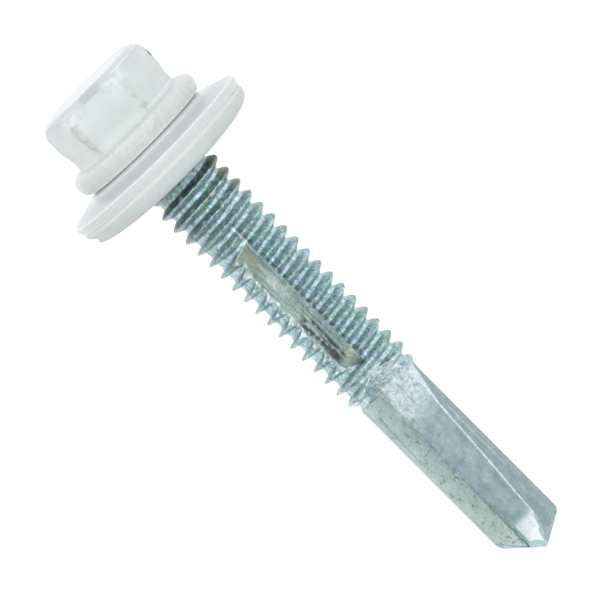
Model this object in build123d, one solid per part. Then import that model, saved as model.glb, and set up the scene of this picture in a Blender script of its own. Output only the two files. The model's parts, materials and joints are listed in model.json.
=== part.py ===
from build123d import *
from math import asin, atan2, cos, degrees, hypot, radians, sin, sqrt, tan
import os

os.makedirs("parts", exist_ok=True)

# A 5.5 x 38 mm self drilling roofing screw with its captive sealing washer, lying on its side.
# It is modelled in the shop frame: the axis is Z, the flange's bearing plane is Z = 0, and the
# drill point is toward +Z. Turns are about Z, in degrees, from the flute that faces down at
# rest. The last step lays it down: +Z up, the point toward +X, on the washer's rim and on the
# two edges of that flute.

# Head, in mm
HEX_ACROSS_FLATS = 7.8
HEX_CORNER_R = 0.9
HEX_TURN = 9.75
HEAD_HEIGHT = 5.25
CROWN_HEIGHT = 1.15
CROWN_R = 1.2
CROWN_CLEARANCE = 0.04
FLARE_HEIGHT = 0.5
FLARE_OVERHANG = 0.22
FLANGE_D = 10.37
FLANGE_T = 1.45
FLANGE_SEAT_D = 8.0
FLANGE_RELIEF = 0.12

# Sealing washer
PLATE_D = 14.28
PLATE_T = 0.8
PLATE_LAND_D = 8.4
PLATE_DISH = 17.0
PLATE_BORE_CLEARANCE = 0.09
SEAL_SETBACK = 0.17
SEAL_RIM_R = 0.77
SEAL_BROW_SPAN = 25.0
STACK_HEIGHT = 2.82
SEAL_BORE_CLEARANCE = 0.05
SEAL_LEAD_CLEARANCE = 0.2

# Thread, 24 turns to the inch, rolled on a blank of its pitch diameter. Each turn of its crest,
# flanks and core is drawn as flats.
THREAD_D = 5.4
THREAD_ROOT_D = 4.4
THREAD_PITCH = 25.4 / 24
THREAD_ANGLE = 70.0
THREAD_GAP = 0.3
THREAD_LENGTH = 19.0
THREAD_START_TURN = 243.0
THREAD_FADE_TURNS = 0.4
THREAD_FADE_HEIGHT = 0.1
THREAD_FACETS = 24
THREAD_CORE_OVERLAP = 0.2
SHANK_STEP_SLOPE = 40.0

# Chip slot, a V milled along the thread
SLOT_TURN = 153.0
SLOT_START_GAP = 5.1
SLOT_END_GAP = 2.3
SLOT_WALL_OFFSET = 0.14
SLOT_FLOOR = 1.4
SLOT_FLOOR_TILT = 14.0
SLOT_RUN_IN_R = 6.0
SLOT_END_R = 1.2

# Drill point
LENGTH = 36.8
DRILL_D = 4.57
POINT_ANGLE = 108.0
FLANK_RELIEF = 3.0
FLUTE_SPAN = 98.5
FLUTE_ANGLE = 116.0
FLUTE_WEB = 1.49
FLUTE_TWIST_PER_MM = 2.2
FLUTE_OVERLAP = 1.7
FLUTE_RUN_OUT = 1.6
FLUTE_RUN_OUT_SLOPE = 50.0

# Round rims: how far each way they turn, and the short flat land at their middle
RIM_HALF_SPAN = 65.0
LAND_HALF_SPAN = 18.0

# How far cutters and roots pass the surfaces that they meet
OVERSHOOT = 1.0
RIDGE_ROOT = 0.08

# Derived
sharp_corner_r = HEX_ACROSS_FLATS / 2 / cos(radians(30))
corner_r = sharp_corner_r - HEX_CORNER_R * (1 / cos(radians(30)) - 1)
thread_r = THREAD_D / 2
root_r = THREAD_ROOT_D / 2
neck_r = (thread_r + root_r) / 2
thread_start = STACK_HEIGHT + THREAD_GAP
thread_end = thread_start + THREAD_LENGTH
drill_r = DRILL_D / 2
drill_corner = LENGTH - drill_r / tan(radians(POINT_ANGLE / 2))
rim_rise = sin(radians(RIM_HALF_SPAN))
land_reach = cos(radians(LAND_HALF_SPAN))
dish = radians(PLATE_DISH)
plate_along = Vector(cos(dish), sin(dish))
plate_across = Vector(-sin(dish), cos(dish)) * (PLATE_T / 2)
plate_land = Vector(PLATE_LAND_D / 2, 0)
plate_rim_r = PLATE_T / 2 / rim_rise
plate_rim = plate_land + plate_across
plate_rim += plate_along * ((PLATE_D / 2 - plate_rim_r - plate_rim.X) / plate_along.X)
plate_low_bend = Vector(PLATE_LAND_D / 2 - PLATE_T * tan(dish / 2), PLATE_T)
seal_r = PLATE_D / 2 - SEAL_SETBACK
seal_rim = Vector(seal_r - SEAL_RIM_R * land_reach, STACK_HEIGHT - SEAL_RIM_R * rim_rise)


def turned(outline):
    """A solid of revolution about Z from an outline drawn as (radius, height)."""
    return revolve(Plane.XZ * make_face(outline), Axis.Z)


def round_rim(centre, radius, facing=0, low_span=RIM_HALF_SPAN):
    """The outline of a rim round its centre: an arc, the short land that it faces, an arc."""
    spans = (-low_span, -LAND_HALF_SPAN, LAND_HALF_SPAN, RIM_HALF_SPAN)
    low, land_low, land_high, high = [
        centre + Vector(radius, 0).rotate(Axis.Z, facing + span) for span in spans
    ]
    land = Line(land_low, land_high)
    return [RadiusArc(low, land_low, -radius), land, RadiusArc(land_high, high, -radius)]


def hex_bar():
    """The hex of the head under its rounded crown."""
    hexagon = RegularPolygon(sharp_corner_r, 6, rotation=HEX_TURN)
    hexagon = fillet(hexagon.vertices(), HEX_CORNER_R)
    bar = extrude(Plane.XY.offset(-HEAD_HEIGHT) * hexagon, HEAD_HEIGHT - FLANGE_T / 2)
    crown_r = corner_r + CROWN_CLEARANCE
    top = (crown_r - CROWN_R + sqrt(CROWN_R**2 - CROWN_HEIGHT**2), -HEAD_HEIGHT)
    shoulder = (crown_r, CROWN_HEIGHT - HEAD_HEIGHT)
    half_turn = asin(CROWN_HEIGHT / CROWN_R) / 2
    middle = (crown_r - CROWN_R * (1 - cos(half_turn)), shoulder[1] - CROWN_R * sin(half_turn))
    crown = [RadiusArc(top, middle, -CROWN_R), RadiusArc(middle, shoulder, -CROWN_R)]
    return bar & turned(crown + [Polyline(shoulder, (crown_r, 0), (0, 0), (0, -HEAD_HEIGHT), top)])


def flare():
    """The cone that spreads the foot of the hex into the flange."""
    foot_r = corner_r + FLARE_OVERHANG
    top = -FLANGE_T - FLARE_HEIGHT
    inside = -FLANGE_T / 2
    corners = [(0, top), (HEX_ACROSS_FLATS / 2, top), (foot_r, -FLANGE_T), (foot_r, inside), (0, inside)]
    return turned(Polyline(*corners, close=True))


def flange():
    """The forged flange with its full-round rim, flat where the washer seats."""
    rim_r = (FLANGE_T - FLANGE_RELIEF) / 2 / rim_rise
    rim = round_rim(Vector(FLANGE_D / 2 - rim_r * land_reach, -(FLANGE_T + FLANGE_RELIEF) / 2), rim_r)
    seat = (FLANGE_SEAT_D / 2, 0)
    return turned(rim + [Polyline(rim[-1] @ 1, seat, (0, 0), (0, -FLANGE_T), rim[0] @ 0)])


def shank_blank():
    """Neck, thread core and drill shank before the ridge is rolled and the point is cut."""
    slope = tan(radians(SHANK_STEP_SLOPE))
    axle_r = root_r - OVERSHOOT
    outline = Polyline(
        (0, 0),
        (neck_r, 0),
        (neck_r, thread_start),
        (axle_r, thread_start + (neck_r - axle_r) / slope),
        (axle_r, thread_end - (root_r - axle_r) / slope),
        (drill_r, thread_end + (drill_r - root_r) / slope),
        (drill_r, LENGTH),
        (0, LENGTH),
        close=True,
    )
    core = RegularPolygon(root_r, THREAD_FACETS, rotation=THREAD_START_TURN)
    core = extrude(Plane.XY.offset(thread_start) * core, THREAD_LENGTH + THREAD_CORE_OVERLAP)
    return turned(outline) + core


def ridge_section(start, length, run):
    """The triangle of the thread's ridge some way along it, low where the ridge fades."""
    base_r = root_r - RIDGE_ROOT
    half_base = (thread_r - base_r) * tan(radians(THREAD_ANGLE / 2))
    low_r = root_r + THREAD_FADE_HEIGHT
    fade = min(run, length - run) / (THREAD_FADE_TURNS * THREAD_PITCH)
    crest = Vector(min(thread_r, low_r + (thread_r - low_r) * fade), 0, start + run)
    foot, heel = Vector(base_r, 0, crest.Z - half_base), Vector(base_r, 0, crest.Z + half_base)
    turn = THREAD_START_TURN + 360 * run / THREAD_PITCH
    return Wire.make_polygon([corner.rotate(Axis.Z, turn) for corner in (foot, crest, heel)], close=True)


def thread_ridge():
    """The right-hand helical ridge, in flats that follow the sides of the thread's core."""
    start = thread_start + (neck_r - root_r)
    step = THREAD_PITCH / THREAD_FACETS
    steps = round((thread_end - start) / step)
    sections = [ridge_section(start, steps * step, count * step) for count in range(steps + 1)]
    return Solid.make_loft(sections, ruled=True)


def chip_slot():
    """The V slot through the thread: a wall close to the axis plane and a sloping floor."""
    outer = thread_r + OVERSHOOT
    run_in = SLOT_RUN_IN_R
    reach = sqrt(run_in**2 - (run_in - thread_r + SLOT_FLOOR) ** 2)
    floor_start = (SLOT_FLOOR, thread_start + SLOT_START_GAP + reach)
    floor_end = (SLOT_FLOOR, thread_end - SLOT_END_GAP - SLOT_END_R)
    reach = sqrt(run_in**2 - (run_in - outer + SLOT_FLOOR) ** 2)
    mouth_start = (outer, floor_start[1] - reach)
    end_top = (SLOT_FLOOR + SLOT_END_R, floor_end[1] + SLOT_END_R)
    wall = [
        RadiusArc(mouth_start, floor_start, run_in),
        Line(floor_start, floor_end),
        RadiusArc(floor_end, end_top, SLOT_END_R),
        Polyline(end_top, (outer, end_top[1]), mouth_start),
    ]
    tilt = radians(SLOT_FLOOR_TILT)
    wall = Plane.XZ.offset(SLOT_WALL_OFFSET) * make_face(wall)
    cutter = extrude(wall, 2 * outer, dir=(sin(tilt), cos(tilt), 0))
    return cutter.rotate(Axis.Z, SLOT_TURN)


def flute_wire(height, lift):
    """The flute's V at one height, turned by the twist and lifted along its centre line."""
    lip = Vector(drill_r, 0).rotate(Axis.Z, -FLUTE_SPAN / 2)
    heel = Vector(drill_r, 0).rotate(Axis.Z, FLUTE_SPAN / 2)
    wall_turn = 180 - FLUTE_SPAN / 2 - degrees(asin(FLUTE_WEB / 2 / drill_r))
    into = Vector(1, 0).rotate(Axis.Z, wall_turn)
    out = Vector(1, 0).rotate(Axis.Z, wall_turn - 180 + FLUTE_ANGLE)
    gap = heel - lip
    valley = lip + into * ((gap.X * out.Y - gap.Y * out.X) / (into.X * out.Y - into.Y * out.X))
    valley += (out - into).normalized() * lift
    corners = [valley, valley - into * DRILL_D, valley + out * DRILL_D]
    twist = FLUTE_TWIST_PER_MM * (height - drill_corner)
    corners = [corner.rotate(Axis.Z, twist) + Vector(0, 0, height) for corner in corners]
    return Wire.make_polygon(corners, close=True)


def flute():
    """One twisted flute, which runs out through the end of the thread."""
    full_start = thread_end - FLUTE_OVERLAP + FLUTE_RUN_OUT
    length = LENGTH + OVERSHOOT - full_start
    lift = FLUTE_RUN_OUT * tan(radians(FLUTE_RUN_OUT_SLOPE))
    section = flute_wire(full_start, 0)
    run_out = Solid.make_loft([flute_wire(full_start - FLUTE_RUN_OUT, lift), section], ruled=True)
    centre = (0, 0, full_start)
    twist = FLUTE_TWIST_PER_MM * length
    return run_out + Solid.extrude_linear_with_rotation(section, centre, (0, 0, length), twist)


def point_waste():
    """What is ground off the end: all outside a relieved cone, over each half of the drill."""
    foot = drill_corner - OVERSHOOT
    height = LENGTH + OVERSHOOT - foot
    half = Box(4 * drill_r, 2 * drill_r, height, align=(Align.CENTER, Align.MAX, Align.MIN))
    cone_r = 2 * height * tan(radians(POINT_ANGLE / 2))
    cone = Cone(cone_r, 0, 2 * height, align=(Align.CENTER, Align.CENTER, Align.MAX))
    waste = Pos(0, 0, foot) * half - Pos(0, 0, LENGTH) * Rot(FLANK_RELIEF, 0, 0) * cone
    return waste.rotate(Axis.Z, -FLUTE_SPAN / 2)


def screw():
    """The whole forging: head, neck, thread, chip slot and drill point."""
    shank = shank_blank() + thread_ridge()
    shank -= chip_slot()
    for turn in (0, 180):
        shank -= point_waste().rotate(Axis.Z, turn)
        shank -= flute().rotate(Axis.Z, turn)
    return hex_bar() + flare() + flange() + shank


def washer_plate():
    """The dished steel disc, flat where the flange seats, with a full-round rim."""
    bore_r = neck_r + PLATE_BORE_CLEARANCE
    rim = round_rim(plate_rim, plate_rim_r, PLATE_DISH)
    inside = [plate_low_bend, (bore_r, PLATE_T), (bore_r, 0), plate_land]
    section = Polyline(rim[-1] @ 1, *inside, rim[0] @ 0)
    return turned(rim + [section])


def washer_seal():
    """The rubber ring bonded under the disc: round rim, flat foot, and a lead-in at its bore."""
    bore_r = neck_r + SEAL_BORE_CLEARANCE
    lead_r = thread_r + SEAL_LEAD_CLEARANCE
    lead = (lead_r, STACK_HEIGHT)
    throat = (bore_r, STACK_HEIGHT - lead_r + bore_r)
    rim = round_rim(seal_rim, SEAL_RIM_R, low_span=SEAL_BROW_SPAN)
    brow_run = (rim[0] @ 0).X - plate_low_bend.X
    brow = plate_low_bend + plate_along * (brow_run / plate_along.X)
    section = Polyline(rim[-1] @ 1, lead, throat, (bore_r, PLATE_T), plate_low_bend, brow, rim[0] @ 0)
    return turned(rim + [section])


def resting_tilt():
    """How far the point dips when the washer's rim and a flute's two edges touch the floor."""
    edge_depth = drill_r * cos(radians(FLUTE_SPAN / 2))
    tilts = []
    for centre, radius in ((plate_rim, plate_rim_r), (seal_rim, SEAL_RIM_R)):
        drop = centre.X - edge_depth
        run = drill_corner - centre.Y
        tilts.append(degrees(atan2(drop, run) + asin(radius / hypot(drop, run))))
    return max(tilts)


pieces = {"screw": screw(), "washer_plate": washer_plate(), "washer_seal": washer_seal()}
laid = Rot(0, 90 + resting_tilt(), 0)
pieces = {name: laid * piece for name, piece in pieces.items()}
box = Compound(list(pieces.values())).bounding_box()
floor_centre = Vector(box.center().X, box.center().Y, box.min.Z)
for name, piece in pieces.items():
    export_step(Pos(-floor_centre) * piece, f"parts/{name}.step")
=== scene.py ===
import json
from math import asin, atan2, cos, exp, pi, radians, sin, sqrt, tan

import bpy
import numpy as np
from mathutils import Matrix, Vector


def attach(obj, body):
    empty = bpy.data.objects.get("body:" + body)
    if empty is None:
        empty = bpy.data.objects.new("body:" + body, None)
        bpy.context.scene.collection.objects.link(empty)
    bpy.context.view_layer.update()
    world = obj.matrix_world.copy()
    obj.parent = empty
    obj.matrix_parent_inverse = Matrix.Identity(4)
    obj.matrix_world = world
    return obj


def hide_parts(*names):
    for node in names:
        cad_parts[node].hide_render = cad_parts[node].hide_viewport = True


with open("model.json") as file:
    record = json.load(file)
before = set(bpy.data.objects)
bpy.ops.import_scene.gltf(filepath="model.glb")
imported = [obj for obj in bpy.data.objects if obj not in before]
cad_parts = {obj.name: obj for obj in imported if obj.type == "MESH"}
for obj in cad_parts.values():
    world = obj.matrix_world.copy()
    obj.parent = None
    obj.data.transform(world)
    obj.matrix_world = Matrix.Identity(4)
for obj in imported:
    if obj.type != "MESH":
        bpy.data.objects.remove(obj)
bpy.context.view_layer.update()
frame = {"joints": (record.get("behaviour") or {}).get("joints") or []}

MM = 0.001
scene = bpy.context.scene

# Shop frame, in mm: the screw's axis is Z, the flange's bearing plane is Z = 0, the point is
# toward +Z. Turns are about Z from the flute that faces down.
joint = frame["joints"][0]
ORIGIN = np.array(joint["pos_m"])
AXIS = np.array(joint["axis"])
ACROSS = np.array([AXIS[2], 0.0, -AXIS[0]])
SHOP = np.array([ACROSS, [0.0, 1.0, 0.0], AXIS])

VIEW_TURN = radians(153)

PITCH = 25.4 / 24
CREST_R = 2.7
ROOT_R = 2.15
NECK_R = 2.45
CREST_TURN = radians(63)
CREST_Z = 3.899
THREAD_LOW = 2.3
THREAD_HIGH = 22.8

SLOT_TURN = radians(153)
SLOT_FLOOR = 1.4
SLOT_TILT = tan(radians(14))
SLOT_WALL = 0.14
SLOT_RUN_IN = 6.0
SLOT_FULL = 11.95
SLOT_END = 18.62
SLOT_END_R = 1.2
SLOT_END_SLOPE = 12
SLOT_REACH = 1.9

DRILL_R = 2.285
LENGTH = 36.8
CORNER_Z = 35.14
TWIST = radians(2.2)
HALF_SPAN = radians(49.25)
FLUTE_ANGLE = radians(116)
HALF_WEB = 0.745
FLUTE_FULL = 22.02
RUN_OUT_SLOPE = tan(radians(50))
POINT_HALF = radians(54)
RELIEF = radians(3)
LIP = DRILL_R * np.array([cos(HALF_SPAN), -sin(HALF_SPAN)])

# Heights at which the thread gives way to the drill, on the shank and in its marks
THREAD_STOP = 22.4
LAND_START = 22.2
FLUTE_BLEND = (22.0, 22.2)
LAND_BLEND = (22.35, 22.65)

FULL_TURN = 2 * pi
FAR = 9.0  # a radius beyond all metal: no surface there, in mm


# ---- numbers

def rises(x, low, high):
    """0 below low, 1 above high, and a smooth rise between."""
    x = np.clip((x - low) / (high - low), 0.0, 1.0)
    return x * x * (3 - 2 * x)


def falls(x, low, high):
    return 1 - rises(x, low, high)


def smin(a, b, k):
    h = np.clip(0.5 + 0.5 * (b - a) / k, 0.0, 1.0)
    return b * (1 - h) + a * h - k * h * (1 - h)


def smax(a, b, k):
    return -smin(-a, -b, k)


def turned_from(turn, centre):
    """Turn from a centre, in -half..half a turn."""
    return (turn - centre + pi) % FULL_TURN - pi


def bell(x, centre, width):
    return np.exp(-(((x - centre) / width) ** 2))


def span(x, low, high, soft=0.1):
    """1 between low and high, 0 outside, with soft ends."""
    return rises(x, low - soft, low + soft) * falls(x, high - soft, high + soft)


LATTICE = np.random.RandomState(7).uniform(-1, 1, (32,) * 3)


def noise(x, y, z, size, seed=0):
    """Smooth value noise in -1..1 with features about size across."""
    cells = len(LATTICE)
    out = np.zeros(np.broadcast(x, y, z).shape)
    parts = []
    for k, v in enumerate((x, y, z)):
        v = np.asarray(v) / size + 11.37 * (k + 1) + 5.713 * seed
        i = np.floor(v).astype(int)
        f = v - i
        parts.append((i % cells, (i + 1) % cells, f * f * f * (f * (6 * f - 15) + 10)))
    for corner in np.ndindex(2, 2, 2):
        weight = 1.0
        for bit, (_, _, f) in zip(corner, parts):
            weight = weight * (f if bit else 1 - f)
        out = out + weight * LATTICE[tuple(part[bit] for bit, part in zip(corner, parts))]
    return out


def fractal(x, y, z, size, seed=0, octaves=3):
    total = 0.0
    for k in range(octaves):
        total = total + noise(x, y, z, size / 2**k, seed + 3 * k) / 1.7**k
    return total


def wrinkle(x, y, z, size, seed=0):
    """Ridged noise in 0..1: narrow creases between smooth lumps."""
    fold = 1 - np.abs(fractal(x, y, z, size, seed, 2)) * 2.2
    return np.clip(fold, 0, 1) ** 2


# ---- meshes

def to_world(points):
    return ORIGIN + (points * MM) @ SHOP


def put(name, data):
    obj = bpy.data.objects.new(name, data)
    scene.collection.objects.link(obj)
    return obj


def polar(r, turn, z):
    return np.stack([r * np.cos(turn), r * np.sin(turn), z], -1)


def build(name, points, faces, extra=None):
    """A smooth mesh from shop-frame points in mm, with its shop coordinates as an attribute."""
    mesh = bpy.data.meshes.new(name)
    points = points.reshape(-1, 3)
    sizes = np.concatenate([np.full(len(f), f.shape[1]) for f in faces])
    starts = np.concatenate([[0], np.cumsum(sizes)[:-1]])
    loops = np.concatenate([f.ravel() for f in faces])
    mesh.vertices.add(len(points))
    mesh.vertices.foreach_set("co", to_world(points).ravel())
    mesh.loops.add(len(loops))
    mesh.loops.foreach_set("vertex_index", loops.astype(np.int32))
    mesh.polygons.add(len(sizes))
    mesh.polygons.foreach_set("loop_start", starts.astype(np.int32))
    mesh.polygons.foreach_set("use_smooth", np.ones(len(sizes), bool))
    mesh.update(calc_edges=True)
    mesh.validate()
    for key, values in {"shop": points, **(extra or {})}.items():
        layer = mesh.attributes.new(key, "FLOAT_VECTOR", "POINT")
        layer.data.foreach_set("vector", np.asarray(values, float).ravel())
    return put(name, mesh)


def ring_quads(rows, columns, base=0):
    """Quads of a grid whose columns close into rings, rows going toward +Z."""
    r, c = np.meshgrid(np.arange(rows - 1), np.arange(columns), indexing="ij")
    d = (c + 1) % columns
    low, high = r * columns, (r + 1) * columns
    return np.stack([low + c, low + d, high + d, high + c], -1).reshape(-1, 4) + base


def fan(ring, centre, flip=False):
    tris = np.stack([ring, np.roll(ring, -1), np.full_like(ring, centre)], -1)
    return tris[:, ::-1] if flip else tris


# ---- shank: thread, slot, flutes

ROW_AT = np.array([
    -0.44, -0.385, -0.32, -0.25, -0.18, -0.115, -0.055, 0.0,
    0.055, 0.115, 0.18, 0.25, 0.32, 0.385, 0.44, 0.529,
])
PER_TURN = len(ROW_AT)
COLUMNS = 192
COLUMN = np.arange(COLUMNS)
WALL_COLUMNS = (90, 93)
WALL_TURNS = (SLOT_TURN - radians(4.9), SLOT_TURN - radians(3.3))


def bowl(away, radius):
    """How far a round of one radius has risen, away from its lowest point."""
    return radius - np.sqrt(np.clip(radius**2 - away**2, 0, None))


def out_to(reach, facing, least):
    """How far out a wall lies, or FAR where it faces outward by no more than the least."""
    return np.where(facing > least, reach / np.maximum(facing, least), FAR)


def slot_floor(z):
    """Distance of the slot's floor corner from the axis at a height; large where there is none."""
    run_in = SLOT_FLOOR + bowl(SLOT_FULL - z, SLOT_RUN_IN)
    end = SLOT_FLOOR + bowl(z - SLOT_END, SLOT_END_R)
    past = z - SLOT_END - SLOT_END_R
    end = np.where(past > 0, end + SLOT_END_SLOPE * past, end)
    x = np.where(z < SLOT_FULL, run_in, SLOT_FLOOR)
    x = np.where(z < SLOT_FULL - SLOT_RUN_IN, FAR, x)
    return np.where(z > SLOT_END, end, x)


def flute_walls():
    """Valley of the flute that faces down, and the directions of its two walls."""
    wall = pi - HALF_SPAN - asin(HALF_WEB / DRILL_R)
    into = np.array([cos(wall), sin(wall)])
    out = np.array([cos(wall - pi + FLUTE_ANGLE), sin(wall - pi + FLUTE_ANGLE)])
    gap = LIP * (0, -2)
    reach = (gap[0] * out[1] - gap[1] * out[0]) / (into[0] * out[1] - into[1] * out[0])
    return LIP + into * reach, into, out


VALLEY, INTO, OUT = flute_walls()
AWAY = (OUT - INTO) / np.linalg.norm(OUT - INTO)


def flute_radius(turn, z):
    """How far out the metal reaches under the two flutes."""
    lift = np.clip(FLUTE_FULL - z, 0, None) * RUN_OUT_SLOPE
    best = np.full(np.shape(turn), FAR)
    for start in (0.0, pi):
        beta = turn - start - TWIST * (z - CORNER_Z)
        limits = []
        for wall in (INTO, OUT):
            normal = np.array([wall[1], -wall[0]])
            facing = np.cos(beta) * normal[0] + np.sin(beta) * normal[1]
            reach = normal @ VALLEY + (normal @ AWAY) * lift
            limits.append(out_to(reach, facing, 0.02))
        best = np.minimum(best, np.maximum(*limits))
    return best


# The thread along Z: it grows from the neck, is rolled down by the drill, and runs to nothing
THREAD_GROWS = (3.2, 3.6)
THREAD_SINKS = (21.6, 22.2)
THREAD_ENDS = (22.25, 22.45)
SUNK_BY = 0.6
THINNED = (6.9, 21.0)
NECK_ENDS = (3.0, 3.3)
DRILL_STARTS = (21.9, 22.3)
WANDER = 0.018
UNEVEN = 0.05
FLANK_SLOPE = 2.3
CREST_ROUND = (0.2, 0.447)  # rounding of the crest, and the height that it takes off
THIN_FLANK = (0.55, 0.24, 2.2)  # drop of the thin crest at a distance, and its power
CREST_BLEND = 0.09


def thread_height(turn, z):
    """Height of the thread's ridge over its root, and the distance from its crest along Z."""
    x, y = np.cos(turn), np.sin(turn)
    wander = WANDER * noise(2 * x, 2 * y, z, 0.9, 1)
    count = (z - CREST_Z - wander) / PITCH - (turn - CREST_TURN) / FULL_TURN
    off = (count - np.round(count)) * PITCH
    crest_z = z - off
    fade = rises(crest_z, *THREAD_GROWS) * (1 - SUNK_BY * rises(crest_z, *THREAD_SINKS))
    fade = fade * falls(crest_z, *THREAD_ENDS)
    full = 1 + UNEVEN * noise(3 * x, 3 * y, crest_z, 1.1, 2)
    side = np.cos(turn - SLOT_TURN - pi / 2)
    thin = rises(side, 0.5, 0.9) * span(crest_z, *THINNED, 0.3)
    fall = np.sqrt((FLANK_SLOPE * off) ** 2 + CREST_ROUND[0]) - CREST_ROUND[1]
    drop, at, power = THIN_FLANK
    fall = fall + (drop * (np.abs(off) / at) ** power - fall) * thin
    return (CREST_R - ROOT_R) * fade * full - fall * (0.4 + 0.6 * fade), off


def thread_surface(turn, z):
    """Radius of the threaded shank, and where it is thread, slot and flute."""
    x, y = np.cos(turn), np.sin(turn)
    height, off = thread_height(turn, z)
    base = ROOT_R + (DRILL_R - ROOT_R) * rises(z, *DRILL_STARTS)
    base = base + (NECK_R - ROOT_R) * falls(z, *NECK_ENDS)
    r = smax(base, base + height, CREST_BLEND)

    delta = turned_from(turn, SLOT_TURN)
    facing = np.cos(delta) - SLOT_TILT * np.sin(delta)
    floor = out_to(slot_floor(z) + SLOT_WALL * SLOT_TILT, facing, 0.15)
    floor = np.where(np.abs(delta) > SLOT_REACH, FAR, floor)
    wall = rises(turn, *WALL_TURNS)
    cut = np.where(wall <= 0, FAR, r + (np.minimum(floor, r) - r) * wall)
    cut = np.where(wall >= 1, floor, cut)
    slotted = rises(r - cut, -0.01, 0.05)
    r = smin(r, cut, 0.03)

    flute = flute_radius(turn, z)
    fluted = rises(r - flute, -0.02, 0.05)
    r = smin(r, flute, 0.05)

    plain = (1 - slotted) * (1 - fluted)
    wrinkled = span(VIEW_TURN - turn, 0.25, 0.72) * span(z, 3.0, 7.3, 0.4)
    junction = span(z, 20.0, 22.2, 0.4)
    lumps = fractal(r * x, r * y, z, 0.3, 9)
    folds = wrinkle(r * x, r * y, z, 0.34, 13)
    r = r + lumps * (0.012 * plain + 0.012 * fluted + 0.02 * junction)
    r = r + plain * wrinkled * (0.05 * folds - 0.02 + 0.03 * lumps)
    r = r + 0.04 * junction * (folds - 0.3) * (1 - slotted)
    r = r + 0.035 * lumps * slotted * rises(r, 1.98, 2.2)
    return np.minimum(r, CREST_R), off, slotted, fluted


def even_turns(c):
    """Turn of each column in the threaded part: even, but bunched at the slot's wall."""
    a, b = WALL_COLUMNS
    return np.interp(c, [0, a, b, COLUMNS], [0, *WALL_TURNS, FULL_TURN])


# Columns of the drill: from each lip down to the valley, up to the heel, and over the land
LIP_COLUMN = 164
LIP_WALL_COLUMNS = 44
HEEL_WALL_COLUMNS = 12
HALF_COLUMNS = COLUMNS // 2
FLUTE_COLUMNS = LIP_WALL_COLUMNS + HEEL_WALL_COLUMNS
IN_FLUTE = (COLUMN - LIP_COLUMN) % HALF_COLUMNS < FLUTE_COLUMNS
TIP_SINK = 0.01


def ease(count):
    """Shares from 0 toward 1, closer together at both ends."""
    t = np.arange(count) / count
    return 0.5 * t + 0.25 * (1 - np.cos(pi * t))


def on_rim(valley, wall, way):
    """Where a wall that passes through the valley meets the drill's round surface."""
    b = valley @ wall
    return valley + wall * (way * sqrt(b * b - valley @ valley + DRILL_R**2) - b)


def drill_section(z):
    """x, y of every column of the drill at one height, with crisp lips, valleys and heels."""
    valley = VALLEY + AWAY * max(FLUTE_FULL - z, 0.0) * RUN_OUT_SLOPE
    lip, heel = on_rim(valley, INTO, -1), on_rim(valley, OUT, 1)
    lip_turn = atan2(lip[1], lip[0])
    heel_turn = atan2(heel[1], heel[0])
    land = HALF_COLUMNS - FLUTE_COLUMNS
    turns = heel_turn + ease(land) * (pi + lip_turn - heel_turn)
    half = np.concatenate([
        lip + np.outer(ease(LIP_WALL_COLUMNS), valley - lip),
        valley + np.outer(ease(HEEL_WALL_COLUMNS), heel - valley),
        DRILL_R * np.stack([np.cos(turns), np.sin(turns)], -1),
    ])
    both = np.roll(np.concatenate([half, -half]), LIP_COLUMN, axis=0)
    c, s = cos(TWIST * (z - CORNER_Z)), sin(TWIST * (z - CORNER_Z))
    return both @ np.array([[c, s], [-s, c]])


def column_turns(z):
    """Turn of every column at one height: even in the thread, following the flutes after it."""
    even = even_turns(COLUMN)
    points = drill_section(max(z, 21.2))
    turns = np.unwrap(np.arctan2(points[:, 1], points[:, 0]))
    turns = turns + FULL_TURN * round((even.mean() - turns.mean()) / FULL_TURN)
    share = float(rises(np.array(z), 19.9, FLUTE_FULL))
    return even * (1 - share) + turns * share


def look_up(table, z, low, high):
    """Each column's value at its own height, from a table at even heights from low to high."""
    k = np.clip((z - low) / (high - low), 0, 1) * (len(table) - 1)
    i = np.clip(k.astype(int), 0, len(table) - 2)
    share = (k - i).reshape(z.shape + (1,) * (table.ndim - 2))
    return table[i, COLUMN] * (1 - share) + table[i + 1, COLUMN] * share


def thread_rows():
    """Heights of the helical rows at the crest's turn: bunched at crests, flat at both ends."""
    table = (CREST_Z + PITCH * np.arange(-2, 20)[:, None] + ROW_AT[None, :]).ravel()
    table = table[(table > THREAD_LOW + 0.02) & (table < THREAD_HIGH - 0.02)]
    ends = np.ones(PER_TURN + 1)
    return np.concatenate([ends * THREAD_LOW, table, ends * THREAD_HIGH])


def thread_grid():
    """Turn and height of the threaded part's points: rows wind with the thread."""
    table = thread_rows()
    rows = len(table) - PER_TURN
    maps = np.array([column_turns(z) for z in np.linspace(THREAD_LOW, THREAD_HIGH, 400)])
    lead = table[PER_TURN:] - table[:rows]
    turn = even_turns(COLUMN)
    for _ in range(4):
        z = table[:rows, None] + lead[:, None] * (turn - CREST_TURN) / FULL_TURN
        z = np.clip(z, THREAD_LOW, THREAD_HIGH)
        turn = look_up(maps, z, THREAD_LOW, THREAD_HIGH)
    return turn, z


def helical_quads(rows):
    """Quads of the threaded part, whose last column meets the first one turn further on."""
    r, c = np.meshgrid(np.arange(rows - 1), np.arange(COLUMNS), indexing="ij")
    jump = np.where(c == COLUMNS - 1, PER_TURN, 0)
    low, high = np.minimum(r + jump, rows - 1), np.minimum(r + 1 + jump, rows - 1)
    d = (c + 1) % COLUMNS
    corners = [r * COLUMNS + c, low * COLUMNS + d, high * COLUMNS + d, (r + 1) * COLUMNS + c]
    return np.stack(corners, -1).reshape(-1, 4)


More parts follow.
